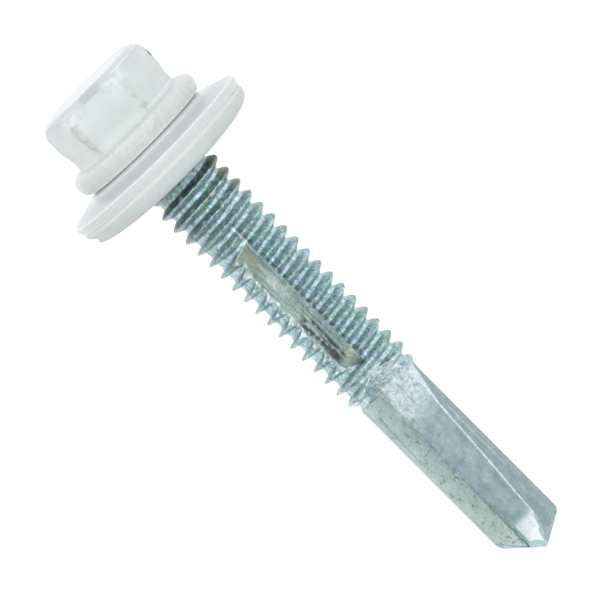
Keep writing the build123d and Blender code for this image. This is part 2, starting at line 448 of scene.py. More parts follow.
def point_depth(x, y):
    """How far under the tip the ground point lies at x, y: two relieved cones."""
    c, s = cos(HALF_SPAN), sin(HALF_SPAN)
    u, v = c * x - s * y, s * x + c * y
    flip = np.where(v > 0, -1.0, 1.0)
    u, v = u * flip, v * flip
    sine, cosine = sin(RELIEF), cos(RELIEF)
    k = cos(POINT_HALF) ** 2
    a, b = cosine * cosine - k, 2 * sine * cosine * v
    c = sine * sine * v * v - k * (u * u + v * v)
    return (-b + np.sqrt(np.maximum(b * b - 4 * a * c, 0))) / (2 * a)


# Facets at the tip by their normals toward the tip, across the view and toward the viewer:
# the gash that runs the cutting edge to the centre, and the flank beyond the valley
GASH = np.array([0.4, -0.685, 0.61])
FLANK = np.array([0.505, -0.413, 0.758])
TIP_Z = 36.95


LEAN = 0.93
LEAN_SWING = 0.21
LEAN_TURN = radians(63)


def lean(turn):
    """How much shorter or longer than true the point is struck on each side."""
    return LEAN - LEAN_SWING * np.cos(turn - LEAN_TURN)


def tip_limit(turn, z):
    """How far out the metal reaches at the tip: round corners, and facets over both halves."""
    best = smin(DRILL_R, (LENGTH - z) * tan(POINT_HALF) / lean(turn), 0.8)
    for start in (0.0, pi):
        angle = VIEW_TURN - turn + start
        limits = []
        for normal in (GASH, FLANK):
            facing = normal[1] * np.sin(angle) + normal[2] * np.cos(angle)
            reach = np.maximum(normal[0] * (TIP_Z - z), 0)
            limits.append(out_to(reach, facing, 0.05))
        best = smin(best, np.maximum(*limits), 0.02)
    return np.maximum(best, 0)


# Rings over the ground point, as shares of its rim, and the rows of the drill's side under it
TIP_RINGS = (0.98, 0.95, 0.91, 0.86, 0.8, 0.73, 0.65, 0.57, 0.49, 0.41, 0.33, 0.25, 0.18, 0.12, 0.06)
SIDE_ROWS = np.concatenate([np.linspace(0, 0.86, 78), np.linspace(0.87, 1, 34)])


def over_point(xy):
    """Height of the ground point over each x, y."""
    x, y = xy[:, 0], xy[:, 1]
    return LENGTH - point_depth(x, y) * lean(np.arctan2(y, x))


def drill_rows():
    """Rows of the drill's side from the thread to the ground point, then rings over the point."""
    top_z = np.full(COLUMNS, CORNER_Z)
    for _ in range(12):
        top_z = over_point(np.array([drill_section(float(t))[k] for k, t in enumerate(top_z)]))
    table = np.array([drill_section(float(t)) for t in np.linspace(THREAD_HIGH, LENGTH, 281)])
    rows = []
    for share in SIDE_ROWS[1:]:
        z = THREAD_HIGH + (top_z - THREAD_HIGH) * share
        rows.append(np.concatenate([look_up(table, z, THREAD_HIGH, LENGTH), z[:, None]], 1))
    rim = rows[-1][:, :2]
    for share in TIP_RINGS:
        rows.append(np.concatenate([rim * share, over_point(rim * share)[:, None]], 1))
    return np.array(rows)


def edge_distance(corner, turn, r, z):
    """Distance, across the axis, from a corner line of either flute."""
    lift = np.clip(FLUTE_FULL - z, 0, None) * RUN_OUT_SLOPE
    twist = TWIST * (z - CORNER_Z)
    away = atan2(AWAY[1], AWAY[0])
    best = np.full(np.shape(turn), FAR)
    for start in (0.0, pi):
        x = r * np.cos(turn - twist - start) - corner[0] - lift * cos(away)
        y = r * np.sin(turn - twist - start) - corner[1] - lift * sin(away)
        best = np.minimum(best, np.hypot(x, y))
    return best


class Places:
    """Where the shank's points lie: along it, across the view, and on which of its surfaces."""

    def __init__(self, r, turn, z, off, slotted, fluted):
        self.z, self.off, self.slotted, self.fluted = z, off, slotted, fluted
        self.across = r * np.sin(VIEW_TURN - turn)
        self.near = np.cos(VIEW_TURN - turn) > 0
        self.streak = noise(3 * self.across, 0 * z, z, 0.9, 71)
        self.fine = noise(self.across, r, z, 0.22, 73)
        self.in_thread = (1 - slotted) * (1 - fluted) * (z < THREAD_STOP)
        self.on_land = (1 - fluted) * (z > LAND_START)
        self.by_slot = span(z, 7.55, 19.65) * (z < 21)
        self.valley_edge = edge_distance(VALLEY, turn, r, z)
        self.lip_edge = edge_distance(LIP, turn, r, np.maximum(z, FLUTE_FULL))
        self.ridge = (turn - VIEW_TURN + radians(54.8)) * r
        self.find_walls()

    def find_walls(self):
        """The flute's two walls, by column, and the heel's wall where it meets the thread."""
        column = (COLUMN - LIP_COLUMN) % HALF_COLUMNS
        heel = self.fluted * (column > LIP_WALL_COLUMNS) * (column < FLUTE_COLUMNS) * (self.z > 21.7)
        # painted light: the heel wall's lighter colour also covers the strip where that wall starts and the
        # land's lower edge
        start = span(self.across, -2.1, -0.45, 0.06) * self.near * span(self.z, 21.75, 23.1, 0.05)
        edge = 0.8 * self.on_land * self.near * falls(self.across, -2.0, -1.8)
        self.heel_wall = np.maximum(np.maximum(heel, start), edge)
        self.whole_lip_wall = self.fluted * (column <= LIP_WALL_COLUMNS)
        self.lip_wall = self.whole_lip_wall * (1 - self.heel_wall)


# Each mark is a strength times where it lies, in mm along the shank (z) and across the view

def highlight_and_wear_marks(p):
    """Painted highlights on the zinc, and lighter torn and rough zinc."""
    z, across, near, fine = p.z, p.across, p.near, p.fine
    run_out = falls(z + 0.5 * across, 23.9, 26.2)
    flare = p.on_land * near * rises(across, 1.2, 1.4)
    flare = flare * falls(across + 0.2 * (z - 22.1), 2.15, 2.3)
    return sum([
        # painted highlights on the flute's run-out, along the start of its heel's wall, and as a flare on
        # the land
        0.85 * p.whole_lip_wall * run_out * rises(fine, -0.8, 0.1) * (1 - p.heel_wall),
        0.9 * bell(z + 0.12 * fine, 21.8, 0.15) * span(across, -2.1, -0.5) * near,
        0.8 * flare * falls(z, 25.2, 26.2),
        # the thread's torn end and its rough start: lighter zinc with a painted highlight
        0.5 * p.in_thread * span(z, 20.0, 22.2, 0.5) * rises(fine, -0.3, 0.4),
        0.35 * p.in_thread * span(across, 0.6, 1.7) * span(z, 3.6, 7.3, 0.3) * near * (fine > 0),
        # painted highlights along the slot's wall and its torn lower edge, and streaks on its floor
        0.85 * (COLUMN > 90) * (COLUMN < 94) * p.by_slot * rises(fine, -0.9, -0.1),
        0.75 * p.slotted * span(across, -1.9, -1.15) * (fine > 0.1) * near,
        0.35 * p.slotted * span(across, -0.75, -0.15) * span(z, 10.6, 13.4, 0.4) * (p.streak > 0.1),
        # grains along the flute's valley, painted glints on the first turns
        0.6 * p.fluted * bell(p.valley_edge, 0.1, 0.2) * rises(fine, 0.25, 0.45) * (z > 23) * (z < 35.4),
        0.9 * bell(p.off, -0.14, 0.08) * bell(across, -0.9, 0.13) * near * (z < 6.9) * (z > 3.5),
        # painted highlights along the cutting lip and a faint ridge on the land
        1.1 * bell(p.lip_edge, 0, 0.06) * (z > 24.5) * (z < 34.4),
        0.45 * p.on_land * bell(p.ridge, 0, 0.045) * span(z, 25.0, 31.0, 0.8),
    ])


def dirt_and_shade_marks(p):
    """Oil, burnt zinc, and painted shade."""
    z, across, near, fine = p.z, p.across, p.near, p.fine
    smudge = p.slotted * span(z, 15.1, 18.8, 0.5) * span(across, -1.2, -0.42, 0.12)
    rows = noise(14 * across, 0 * z, z, 1.0, 77)
    lines = bell(np.sin(across * 38), 1, 0.35) * span(across, -0.5, 0.06, 0.03)
    upper_cone = (1.75 * (36.78 - z) - across) / 2.02
    return sum([
        # the slot: a smudge on its floor, the line beside its wall, milling lines and its far end
        1.2 * smudge * rises(rows + 0.5 * p.streak + 0.9 * fine, -0.45, 0.0),
        0.45 * (COLUMN >= 87) * (COLUMN <= 89) * p.by_slot,
        0.6 * p.slotted * lines * span(z, 15.6, 18.4, 0.4),
        0.7 * p.slotted * span(z, 19.62, 20.1, 0.08) * span(across, -0.5, 0.2),
        # two specks, then the shade by the washer and on the first turns' crests
        0.8 * bell(across, 0.1, 0.07) * bell(z, 7.55, 0.06),
        0.8 * bell(across, -0.3, 0.14) * bell(z, 3.3, 0.14),
        0.55 * falls(z, 3.1, 4.1),
        0.5 * p.in_thread * span(across, 1.9, 2.8, 0.12) * near * bell(p.off, 0, 0.2)
        * falls(z, 5.7, 6.4),
        # painted shade in the flute's valley and on the wall under its lip
        0.5 * p.fluted * bell(p.valley_edge, 0, 0.055) * rises(fine, -0.9, 0.2) * (z < 35.4),
        0.12 * p.fluted * bell(p.valley_edge, 0, 0.2) * (z > 24),
        0.2 * p.lip_wall * bell(p.lip_edge, 0.3, 0.3) * span(z, 26.5, 33.0, 1.5),
        # painted shade along the outer edges of the land and the thread, and a dark line along the point's
        # upper edge
        0.3 * p.on_land * rises(np.abs(across), 2.08, 2.26),
        0.3 * p.in_thread * rises(across, 2.4, 2.7) * near,
        0.8 * bell(upper_cone, 0, 0.07) * (z > 35.5) * (across > 0.15),
    ])


def olive_marks(p):
    """Yellowed zinc: the slot's two ends and floor, and the upper edge of the first turns."""
    z, across = p.z, p.across
    return sum([
        0.5 * p.slotted * span(z, 18.5, 19.4, 0.2) * span(across, -0.7, 0.12),
        0.6 * p.slotted * span(z, 9.4, 10.4, 0.2) * span(across, -1.4, -0.3, 0.15),
        0.4 * p.slotted * span(across, -0.6, -0.1) * span(z, 9.5, 13.2, 0.5),
        0.7 * p.in_thread * span(across, 2.0, 2.8) * p.near * span(z, 2.8, 6.0, 0.6),
        0.4 * p.in_thread * span(across, 2.0, 2.8) * p.near * bell(z, 8.1, 0.5),
    ])


def point_zones(p):
    """A painted highlight on the ground rake face, painted light along the point's lower edge, and the land.
    """
    z, across, near = p.z, p.across, p.near
    lower_cone = (1.21 * (36.75 - z) + across) / 1.57
    # a painted highlight on the rake face
    rake = span(across, -0.55, 0.95) * rises(z + 0.05 * across + 0.1 * p.fine, 34.0, 34.6) * near
    rake = rake * falls(across + 0.36 * (z - 34.2), 0.93, 1.02)
    rake = rake * rises(lower_cone, 0.42, 0.52)
    # painted light along the point's lower edge
    painted_light_strip = near * (z > 34.4) * (across < 0.55) * falls(lower_cone, 0.36, 0.46)
    return np.stack([rake, painted_light_strip, p.on_land * (1 - p.heel_wall)], -1)


def paint_marks(*where):
    """Attributes for the plating: marks from how the screw was made and handled, with painted highlights and
    painted shade among them.
    """
    p = Places(*where)
    marks = np.stack([highlight_and_wear_marks(p), dirt_and_shade_marks(p), olive_marks(p)], -1)
    return np.clip(marks, 0, 1), np.stack([p.slotted, p.lip_wall, p.heel_wall], -1), point_zones(p)


def meet_drill(r, z):
    """Radius of the threaded part, eased into the drill's section just under it."""
    section = np.array([np.hypot(*drill_section(v).T) for v in np.linspace(FLUTE_FULL, THREAD_HIGH, 24)])
    reach = look_up(section, z, FLUTE_FULL, THREAD_HIGH)
    blend = np.where(IN_FLUTE, rises(z, *FLUTE_BLEND), rises(z, *LAND_BLEND))
    return r + (reach - r) * blend


def threaded_part():
    """Points and attributes from under the washer to the drill."""
    turn, z = thread_grid()
    r, off, slotted, fluted = thread_surface(turn, z)
    r = meet_drill(r, z)
    phase = FULL_TURN * off / PITCH
    thread = (1 - slotted) * (1 - fluted) * span(z, 3.1, 22.2)
    helix = np.stack([np.cos(phase), np.sin(phase), thread], -1)
    return polar(r, turn, z), helix, *paint_marks(r, turn, z, off, slotted, fluted)


def drill_part():
    """Points and attributes from the thread to the tip: pitted, and cut to the tip's facets."""
    x, y, z = np.moveaxis(drill_rows(), -1, 0)
    r, turn = np.hypot(x, y), np.arctan2(y, x) % FULL_TURN
    fluted = np.broadcast_to(IN_FLUTE, z.shape) * 1.0
    marks = paint_marks(r, turn, z, 0 * z, 0 * z, fluted)
    depth = 0.004 + 0.02 * falls(z, 23.5, 25.2) * fluted
    r = np.minimum(r + fractal(x, y, z, 0.3, 9) * depth - 0.004, DRILL_R)
    r = np.minimum(r, tip_limit(turn, z))
    helix = np.broadcast_to([-1.0, 0.0, 0.0], (*z.shape, 3))
    return polar(r, turn, z), helix, *marks


def screw_shank():
    top, drill = threaded_part(), drill_part()
    points, *marks = [np.concatenate([a.reshape(-1, 3), b.reshape(-1, 3)]) for a, b in zip(top, drill)]
    verts = np.concatenate([points, [[0, 0, LENGTH - TIP_SINK]]])
    rows, rings = len(top[0]), len(drill[0])
    base = (rows - 1) * COLUMNS
    last_ring = base + rings * COLUMNS + COLUMN
    faces = [
        np.concatenate([helical_quads(rows), ring_quads(rings + 1, COLUMNS, base)]),
        fan(last_ring, len(verts) - 1),
    ]
    names = ("helix", "marks", "zones", "point")
    extra = {name: np.concatenate([values, values[-1:]]) for name, values in zip(names, marks)}
    return build("screw_shank", verts, faces, extra)


# ---- head

HEX_TURN = radians(9.75)
HALF_FLATS = 3.9
HEX_CORNER_R = 0.9
CROWN_R = 1.2
CROWN_CENTRE = (3.2, -4.08)
HEAD_TOP = -5.25
HEAD_COLUMNS = 384

# The head's parts, and the radii and heights of their rows from the top to the neck
TOP, WALL, FOOT, RIM, SEAT = range(5)
TOP_RS = np.concatenate([np.linspace(0.15, 2.9, 16), np.linspace(3.0, 3.4, 6)])
BRINK_ZS = HEAD_TOP + np.array([0.004, 0.02, 0.045, 0.08, 0.12])
CROWN_ZS = np.concatenate([BRINK_ZS, np.linspace(-5.07, -4.1, 26)])
WALL_FOOT = -1.95
WALL_ZS = np.linspace(-4.06, WALL_FOOT, 38)
WAIST = 0.19
WAIST_Z = -2.1
WAIST_REACH = 0.75
FOOT_END = (4.5, -1.47)
TOES = (-1.3, -1.18)  # height of the foot's bend under the corners and under the flats
RIM_Z = -0.87
UPPER_RIM = (4.5, 0.68, 0.6)  # the centre's radius, then a curve's reach out and along Z
LOWER_RIM = (4.64, 0.54, 0.855)
SEAT_Z = -0.012
SEAT_RS = (4.4, 4.0, 3.4, 2.8, 2.47)
NECK = ((2.45, 0.3), (2.45, 1.6), (2.44, 2.5))
TOP_DISH = 0.02
CHIP_TURN = radians(65.5)
CHIP_Z = -3.95


def hex_radius(turn):
    """Distance of the hex's wall from the axis, and the turn from its nearest corner."""
    half = pi / 6
    delta = (turn - HEX_TURN + half) % (2 * half) - half
    flat = HALF_FLATS / np.cos(half - np.abs(delta))
    c = (HALF_FLATS - HEX_CORNER_R) / cos(half)
    arc = c * np.cos(delta) + np.sqrt(np.maximum(HEX_CORNER_R**2 - (c * np.sin(delta)) ** 2, 0))
    tangent = atan2(HEX_CORNER_R / 2, c + HEX_CORNER_R * cos(half))
    return np.where(np.abs(delta) < tangent, arc, flat), delta


def head_rows(turn, hexa):
    """Radius, height and part of each row of the head: top, wall, foot, rim, seat and neck."""
    rows = []

    def add(r, z, part):
        rows.append((r + 0 * turn, z + 0 * turn, np.full(len(turn), part)))

    for r in TOP_RS:
        add(r, HEAD_TOP, TOP)
    for z in CROWN_ZS:
        crown = CROWN_CENTRE[0] + sqrt(CROWN_R**2 - (CROWN_CENTRE[1] - z) ** 2)
        add(smin(hexa, crown, 0.05), z, WALL)
    for z in WALL_ZS:
        waist = WAIST * exp(-(((z - WAIST_Z) / WAIST_REACH) ** 2))
        add(smin(hexa - waist, CROWN_CENTRE[0] + CROWN_R, 0.05), z, WALL)
    wall = rows[-1][0]
    toe = np.where(hexa > 4.2, *TOES)
    for t in np.linspace(0, 1, 20)[1:]:
        a, b, c = (1 - t) ** 2, 2 * t * (1 - t), t * t
        r = a * wall + b * (wall + 0.02) + c * FOOT_END[0]
        add(r, a * WALL_FOOT + b * toe + c * FOOT_END[1], FOOT)
    centre, out, rise = UPPER_RIM
    for t in np.linspace(0, pi / 2, 17)[1:]:
        add(centre + out * sin(t), RIM_Z - rise * cos(t), RIM)
    centre, out, rise = LOWER_RIM
    for t in np.linspace(pi / 2, pi, 19)[1:]:
        add(centre + out * sin(t) ** 0.9, RIM_Z - rise * cos(t), RIM)
    for r in SEAT_RS:
        add(r, SEAT_Z, SEAT)
    for r, z in NECK:
        add(r, z, SEAT)
    return [np.array(v) for v in zip(*rows)]


class HeadPlaces:
    """Where the head's points lie, and the lumps and creases that its shape and marks share."""

    def __init__(self):
        self.turn = np.linspace(0, FULL_TURN, HEAD_COLUMNS, endpoint=False)
        hexa, delta = hex_radius(self.turn)
        self.r, self.z, self.part = r, z, part = head_rows(self.turn, hexa)
        x, y = np.cos(self.turn), np.sin(self.turn)
        self.at = (r * x, r * y, z)
        self.body = (part == WALL) | (part == FOOT)
        self.across = r * np.sin(VIEW_TURN - self.turn)
        self.near = np.cos(VIEW_TURN - self.turn) > 0
        self.from_corner = np.abs(delta) * r
        self.wander = 0.16 * noise(3 * x, 3 * y, z, 0.8, 17)
        facing = rises(np.abs(np.cos(VIEW_TURN - self.turn)), 0.3, 0.6)
        corner = facing * bell(self.from_corner + self.wander, 0, 0.34)
        self.corner = corner * span(z, -4.55, -1.6, 0.3) * self.body
        self.folds = wrinkle(*self.at, 0.55, 21)
        self.crown = span(z, -5.2, -4.3, 0.2) * self.body
        self.dents = bell(self.from_corner, 0.62, 0.4) * span(z, -4.9, -3.9, 0.25) * self.body


def head_push(p):
    """How far lumps, creases and dents move the head's surface out."""
    lumps = fractal(*p.at, 0.42, 25)
    return sum([
        p.corner * (0.06 * p.folds - 0.01 + 0.03 * lumps),
        p.crown * 0.01 * lumps,
        p.dents * 0.03 * (lumps - 0.4),
        (p.part == RIM) * (0.016 * fractal(*p.at, 0.5, 33) - 0.01),
        p.body * 0.004 * lumps,
    ])


def head_wear(p):
    """Lumpy corners, the rim and crown, and the chip that lost its paint."""
    spot = bell((p.turn - CHIP_TURN) * 4.3, 0, 0.7) * bell(p.z, CHIP_Z, 0.5) * p.body
    chip = spot * rises(noise(*p.at, 0.25, 45), -0.6, -0.1)
    return np.stack([p.corner, (p.part == RIM) + 0.35 * p.crown, chip], -1)


def head_shade(p):
    """Painted light on the flange's underside and seat, the dents beside the corners, and the corners'
    creases.
    """
    # painted light: the flange's underside and seat are lightened against the shade in the crevice
    under = rises(p.z, -0.35, -0.02) * (p.part == RIM) + (p.part == SEAT)
    return np.stack([under, p.dents, p.folds * p.corner], -1)


def head_light_and_veins(p):
    """Painted highlights along the edges, a painted shade patch on the crown's brink, and veins at the
    corners.
    """
    z, across = p.z, p.across
    rough = noise(*p.at, 0.3, 49)
    # painted highlights along the crown's edge, on the chamfers, on the fillet and along the foot
    crown_edge_highlight = bell(z + 0.05 * rough, -4.93, 0.06)
    crown_edge_highlight = crown_edge_highlight * (span(across, 1.5, 3.9, 0.2) + 0.7 * span(across, -2.8, -1.7, 0.2))
    chamfer_highlight = bell(p.from_corner + 0.25 * (z + 4.3), 0.25, 0.28) * span(z, -4.75, -4.15)
    fillet_highlight = bell(z + 0.1 * np.abs(across - 3), -1.62, 0.07) * span(across, 1.7, 4.2, 0.2)
    foot_highlight = bell(z, -1.2, 0.05) * span(across, -4.3, 1.8) * (0.5 + 0.5 * (rough > 0))
    painted_highlight = 0.9 * crown_edge_highlight + 0.8 * chamfer_highlight * (np.abs(across) < 3.4) + 0.9 * fillet_highlight + 0.8 * foot_highlight
    brink = (p.part == WALL) * falls(z, -4.8, -4.6) + (p.part == TOP) * rises(p.r, 2.3, 3.3)
    # painted shade: a darker patch on the crown's brink, on the side toward the view
    painted_shade_patch = p.near * span(across, -1.05, 0.5, 0.2) * brink
    veins = np.maximum(wrinkle(*p.at, 0.9, 29), wrinkle(*p.at, 0.6, 37))
    veins = veins * bell(p.from_corner + 1.4 * p.wander, 0, 0.3) * span(z, -4.6, -1.5, 0.15) * p.body
    return np.stack([np.clip(p.near * painted_highlight, 0, 1), painted_shade_patch, veins], -1)


def screw_head():
    p = HeadPlaces()
    x, y, z = p.at
    sink = (p.part == TOP) * TOP_DISH * (1 + noise(x, y, 0 * z, 1.3, 41))
    points = polar(p.r + head_push(p), p.turn, z + sink)
    verts = np.concatenate([points.reshape(-1, 3), [[0, 0, HEAD_TOP + TOP_DISH]]])
    extra = {"wear": head_wear(p), "shade": head_shade(p), "look": head_light_and_veins(p)}
    extra = {key: np.concatenate([values.reshape(-1, 3), [[0, 0, 0]]]) for key, values in extra.items()}
    centre = fan(np.arange(HEAD_COLUMNS), len(verts) - 1, flip=True)
    return build("screw_head", verts, [ring_quads(len(z), HEAD_COLUMNS), centre], extra)


# ---- washer

WASHER_COLUMNS = 384
DISH = radians(17)
ALONG = np.array([cos(DISH), sin(DISH)])
ACROSS_PLATE = np.array([-sin(DISH), cos(DISH)])
LAND = np.array([4.2, 0.0])
PLATE_EDGE = 7.125
PLATE_T = 0.8
PLATE_BORE = 2.54
FLAT_OUT = 4.1
BEND = 0.1
UNDER_BEND = np.array([4.08, PLATE_T])
CORNER_STEP = 45  # the outline's step at the rim's worn top corner, along which a highlight line is painted
DISC_STEPS_END = 68


def turned_ring(name, outline, shape, marks):
    """A closed ring from an outline of (radius, height), moved by shape and given its marks."""
    turn = np.linspace(0, FULL_TURN, WASHER_COLUMNS, endpoint=False)
    r = np.broadcast_to(outline[:, :1], (len(outline), WASHER_COLUMNS))
    z = np.broadcast_to(outline[:, 1:], r.shape)
    turns = np.broadcast_to(turn, r.shape)
    r, z = shape(r, z, turns)
    points = polar(r, turns, z)
    quads = ring_quads(len(r) + 1, WASHER_COLUMNS) % r.size
    return build(name, points, [quads], marks(r, z, turns))


def line(a, b, count):
    """Points from a toward b, without b."""
    t = np.arange(count)[:, None] / count
    return np.array(a) + t * (np.array(b) - np.array(a))


def plate_rim():
    """The sheared rim of the disc: a worn top corner, a nearly flat edge and a soft low corner."""
    half = PLATE_T / 2
    centre = LAND + half * ACROSS_PLATE
    centre = centre + ALONG * ((PLATE_EDGE - half - centre[0]) / ALONG[0])
    t = np.linspace(-0.5 * pi, 0.5 * pi, 34)
    u = np.sign(np.cos(t)) * np.abs(np.cos(t)) ** 0.6 * (half - 0.05)
    v = np.sign(np.sin(t)) * np.abs(np.sin(t)) ** 0.75 * half
    return centre + u[:, None] * ALONG + v[:, None] * ACROSS_PLATE


def washer_plate():
    rim = plate_rim()
    outline = np.concatenate([
        line((PLATE_BORE, 0.0), (FLAT_OUT, 0.0), 6),
        line((FLAT_OUT, 0.0), LAND + BEND * ALONG, 4),
        line(LAND + BEND * ALONG, rim[0], 30),
        rim,
        line(rim[-1] - 0.04 * ALONG, UNDER_BEND, 16),
        line(UNDER_BEND, (PLATE_BORE, PLATE_T), 6),
        line((PLATE_BORE, PLATE_T - 0.01), (PLATE_BORE, 0.0), 3),
    ])

    def shape(r, z, turn):
        x, y = np.cos(turn), np.sin(turn)
        outer = rises(r, 4.4, 6.2)
        z = z + outer * 0.035 * noise(2 * x, 2 * y, 0 * z, 1.3, 51)
        r = r - outer * 0.012 * (1 + 0.6 * fractal(r * x, r * y, z, 0.45, 55))
        return r, z

    step = np.arange(len(outline))[::-1, None] + 0.0

    def marks(r, z, turn):
        deep = z - (r - LAND[0]) * tan(DISH)
        wavy = 0.05 * noise(6 * np.cos(turn), 6 * np.sin(turn), 0 * z, 1.0, 81)
        # painted highlight lines along the rim's top corner, and painted light on its lower corner and
        # underside
        top_rows = bell(step, CORNER_STEP + 14 * wavy, 2.3)
        low_rows = bell(step, CORNER_STEP + 18 + 16 * wavy, 2.2) + (step > DISC_STEPS_END)
        outer = rises(r, 6.3, 6.6)
        # painted shade on the dished cone beyond the flange
        painted_shade_cone = falls(deep, 0.02, 0.1) * span(r, 5.5, 6.9, 0.4)
        # painted light in the crevice under the flange
        painted_light_crevice = falls(r, 5.0, 5.3) * (r > 4.0)
        edge, rim = outer * (top_rows + 0.5 * low_rows), rises(deep, 0.05, 0.15) * (r > 6.5)
        return {"wear": np.stack([edge, rim, painted_shade_cone], -1), "look": np.stack([painted_light_crevice, 0 * r, 0 * r], -1)}

    return turned_ring("washer_disc", outline[::-1], shape, marks)


# The seal's bulging edge, from the disc to its flat face, is one stretch of an ellipse
BROW_CENTRE = (6.1, 1.88)
BROW_REACH = (0.864, 0.94)
BROW_ENDS = (radians(-18.6), radians(79.8))
BROW_ROWS = 16
BROW_START = 6.8
SEAL_BORE = 2.5
SEAL_FACE = 2.815
FACE_RS = (6.24, 3.0)
FACE_BEVEL = ((2.9, 2.81), (2.52, 2.44))
NOTCH_TURN = radians(243)
NOTCH_Z = 2.32
NOTCH_DEPTH = 0.36


def washer_seal():
    brow = UNDER_BEND + ALONG * ((BROW_START - UNDER_BEND[0]) / ALONG[0])
    t = np.linspace(*BROW_ENDS, BROW_ROWS)[:, None]
    bulge = np.array(BROW_CENTRE) + np.array(BROW_REACH) * np.concatenate([np.cos(t), np.sin(t)], 1)
    outline = np.concatenate([
        line((SEAL_BORE, PLATE_T), UNDER_BEND, 5),
        line(UNDER_BEND, brow, 14),
        bulge,
        line((FACE_RS[0], SEAL_FACE), (FACE_RS[1], SEAL_FACE), 18),
        line(*FACE_BEVEL, 5),
        line((SEAL_BORE, 2.42), (SEAL_BORE, PLATE_T), 8),
    ])

    def shape(r, z, turn):
        x, y = np.cos(turn), np.sin(turn)
        outer = rises(r, 5.2, 6.4)
        local = bell(turned_from(turn, NOTCH_TURN), 0, 0.6)
        r = r - NOTCH_DEPTH * bell(z, NOTCH_Z, 0.3) * outer * local
        r = r + 0.1 * bell(z, 2.75, 0.12) * rises(r, 6.0, 6.4) * local
        r = r - outer * 0.014 * (1 + noise(2 * x, 2 * y, z, 0.8, 61))
        uneven = 0.1 * np.cos(VIEW_TURN - turn) - 0.16 * np.sin(VIEW_TURN - turn) ** 2
        return r, z + uneven * rises(z, 1.8, 2.8) * rises(r, 4.0, 5.5)

    def marks(r, z, turn):
        foot = rises(z, 2.5, 2.8) * (r > 3)
        # painted light under the disc's rim, against the overhang's shadow
        painted_light_notch = falls(z, 1.74, 1.9) * rises(r, 6.3, 6.6)
        return {"wear": np.stack([foot, rises(r, 6.2, 6.8), painted_light_notch], -1)}

    return turned_ring("washer_rubber", outline[::-1], shape, marks)


# ---- materials

class Nodes:
    """Small helper that makes and joins the shader nodes of a material or a world."""

    def __init__(self, owner, output="ShaderNodeOutputMaterial"):
        owner.use_nodes = True
        self.owner = owner
        self.tree = owner.node_tree
        self.tree.nodes.clear()
        self.out = self.new(output)

    def new(self, kind, inputs=None, **settings):
        node = self.tree.nodes.new(kind)
        for key, value in settings.items():
            setattr(node, key, value)
        for key, value in (inputs or {}).items():
            self.put(node.inputs[key], value)
        return node

    def put(self, socket, value):
        if isinstance(value, bpy.types.NodeSocket):
            self.tree.links.new(value, socket)
        elif isinstance(value, tuple) and socket.type == "RGBA":
            socket.default_value = (*value[:3], 1)
        else:
            socket.default_value = value

    def attribute(self, name):
        return self.new("ShaderNodeAttribute", attribute_name=name).outputs["Vector"]

    def parts(self, vector):
        return list(self.new("ShaderNodeSeparateXYZ", {0: vector}).outputs)

    def noise(self, vector, scale, detail=3.0, roughness=0.6):
        inputs = {"Vector": vector, "Scale": scale, "Detail": detail, "Roughness": roughness}
        return self.new("ShaderNodeTexNoise", inputs).outputs["Fac"]

    def patches(self, vector, scale, low, high, start=0.0, end=1.0):
        """Noise pushed apart into patches with soft edges."""
        return self.ease(self.noise(vector, scale), low, high, start, end)

    def ramp(self, value, *stops):
        node = self.new("ShaderNodeValToRGB", {"Fac": value})
        elements = node.color_ramp.elements
        while len(elements) < len(stops):
            elements.new(0.5)
        for element, (place, colour) in zip(elements, stops):
            element.position = place
            element.color = (*colour, 1)
        return node.outputs["Color"]

    def math(self, operation, a, b=0.0, clamp=False):
        node = self.new("ShaderNodeMath", operation=operation, use_clamp=clamp)
        self.put(node.inputs[0], a)
        self.put(node.inputs[1], b)
        return node.outputs[0]

    def times(self, *values):
        total = values[0]
        for value in values[1:]:
            total = self.math("MULTIPLY", total, value)
        return total

    def plus(self, a, b):
        return self.math("ADD", a, b)

    def ease(self, value, low, high, start=0.0, end=1.0):
        inputs = {"Value": value, "From Min": low, "From Max": high, "To Min": start, "To Max": end}
        return self.new("ShaderNodeMapRange", inputs, interpolation_type="SMOOTHSTEP").outputs[0]

    def mix(self, factor, a, b, blend="MIX"):
        node = self.new("ShaderNodeMix", data_type="RGBA", blend_type=blend)
        for index, value in ((0, factor), (6, a), (7, b)):
            self.put(node.inputs[index], value)
        return node.outputs[2]

    def tint(self, colour, by):
        return self.mix(1.0, colour, by, "MULTIPLY")

    def cover(self, colour, *layers):
        """A colour under layers, each a share and the colour that it lays on."""
        for share, over in layers:
            colour = self.mix(share, colour, over)
        return colour

    def scaled(self, vector, x, y, z):
        return self.new("ShaderNodeVectorMath", {0: vector, 1: (x, y, z)}, operation="MULTIPLY").outputs[0]

    def bump(self, height, distance, strength=1.0):
        inputs = {"Height": height, "Distance": distance, "Strength": strength}
        return self.new("ShaderNodeBump", inputs).outputs["Normal"]

    def surface(self, colour, roughness, normal, **more):
        inputs = {"Base Color": colour, "Roughness": roughness, "Normal": normal}
        inputs.update({name.replace("_", " "): value for name, value in more.items()})
        return self.finish(self.new("ShaderNodeBsdfPrincipled", inputs).outputs[0])

    def finish(self, shader):
        self.tree.links.new(shader, self.out.inputs["Surface"])
        return self.owner


def material_nodes(name):
    return Nodes(bpy.data.materials.new(name))


def grey(value):
    return (value,) * 3


PAINT = ((0.735, 0.78, 0.765), (0.775, 0.812, 0.8))
PAINT_BUMP = 0.00007


def paint_base(n, shop):
    """Cloudy white paint and its fine and coarse orange peel."""
    colour = n.ramp(n.noise(shop, 0.8, 3, 0.55), (0.35, PAINT[0]), (0.65, PAINT[1]))
    fine = n.noise(shop, 5.5, 4, 0.6)
    coarse = n.noise(shop, 2.2, 3, 0.55)
    return colour, fine, coarse


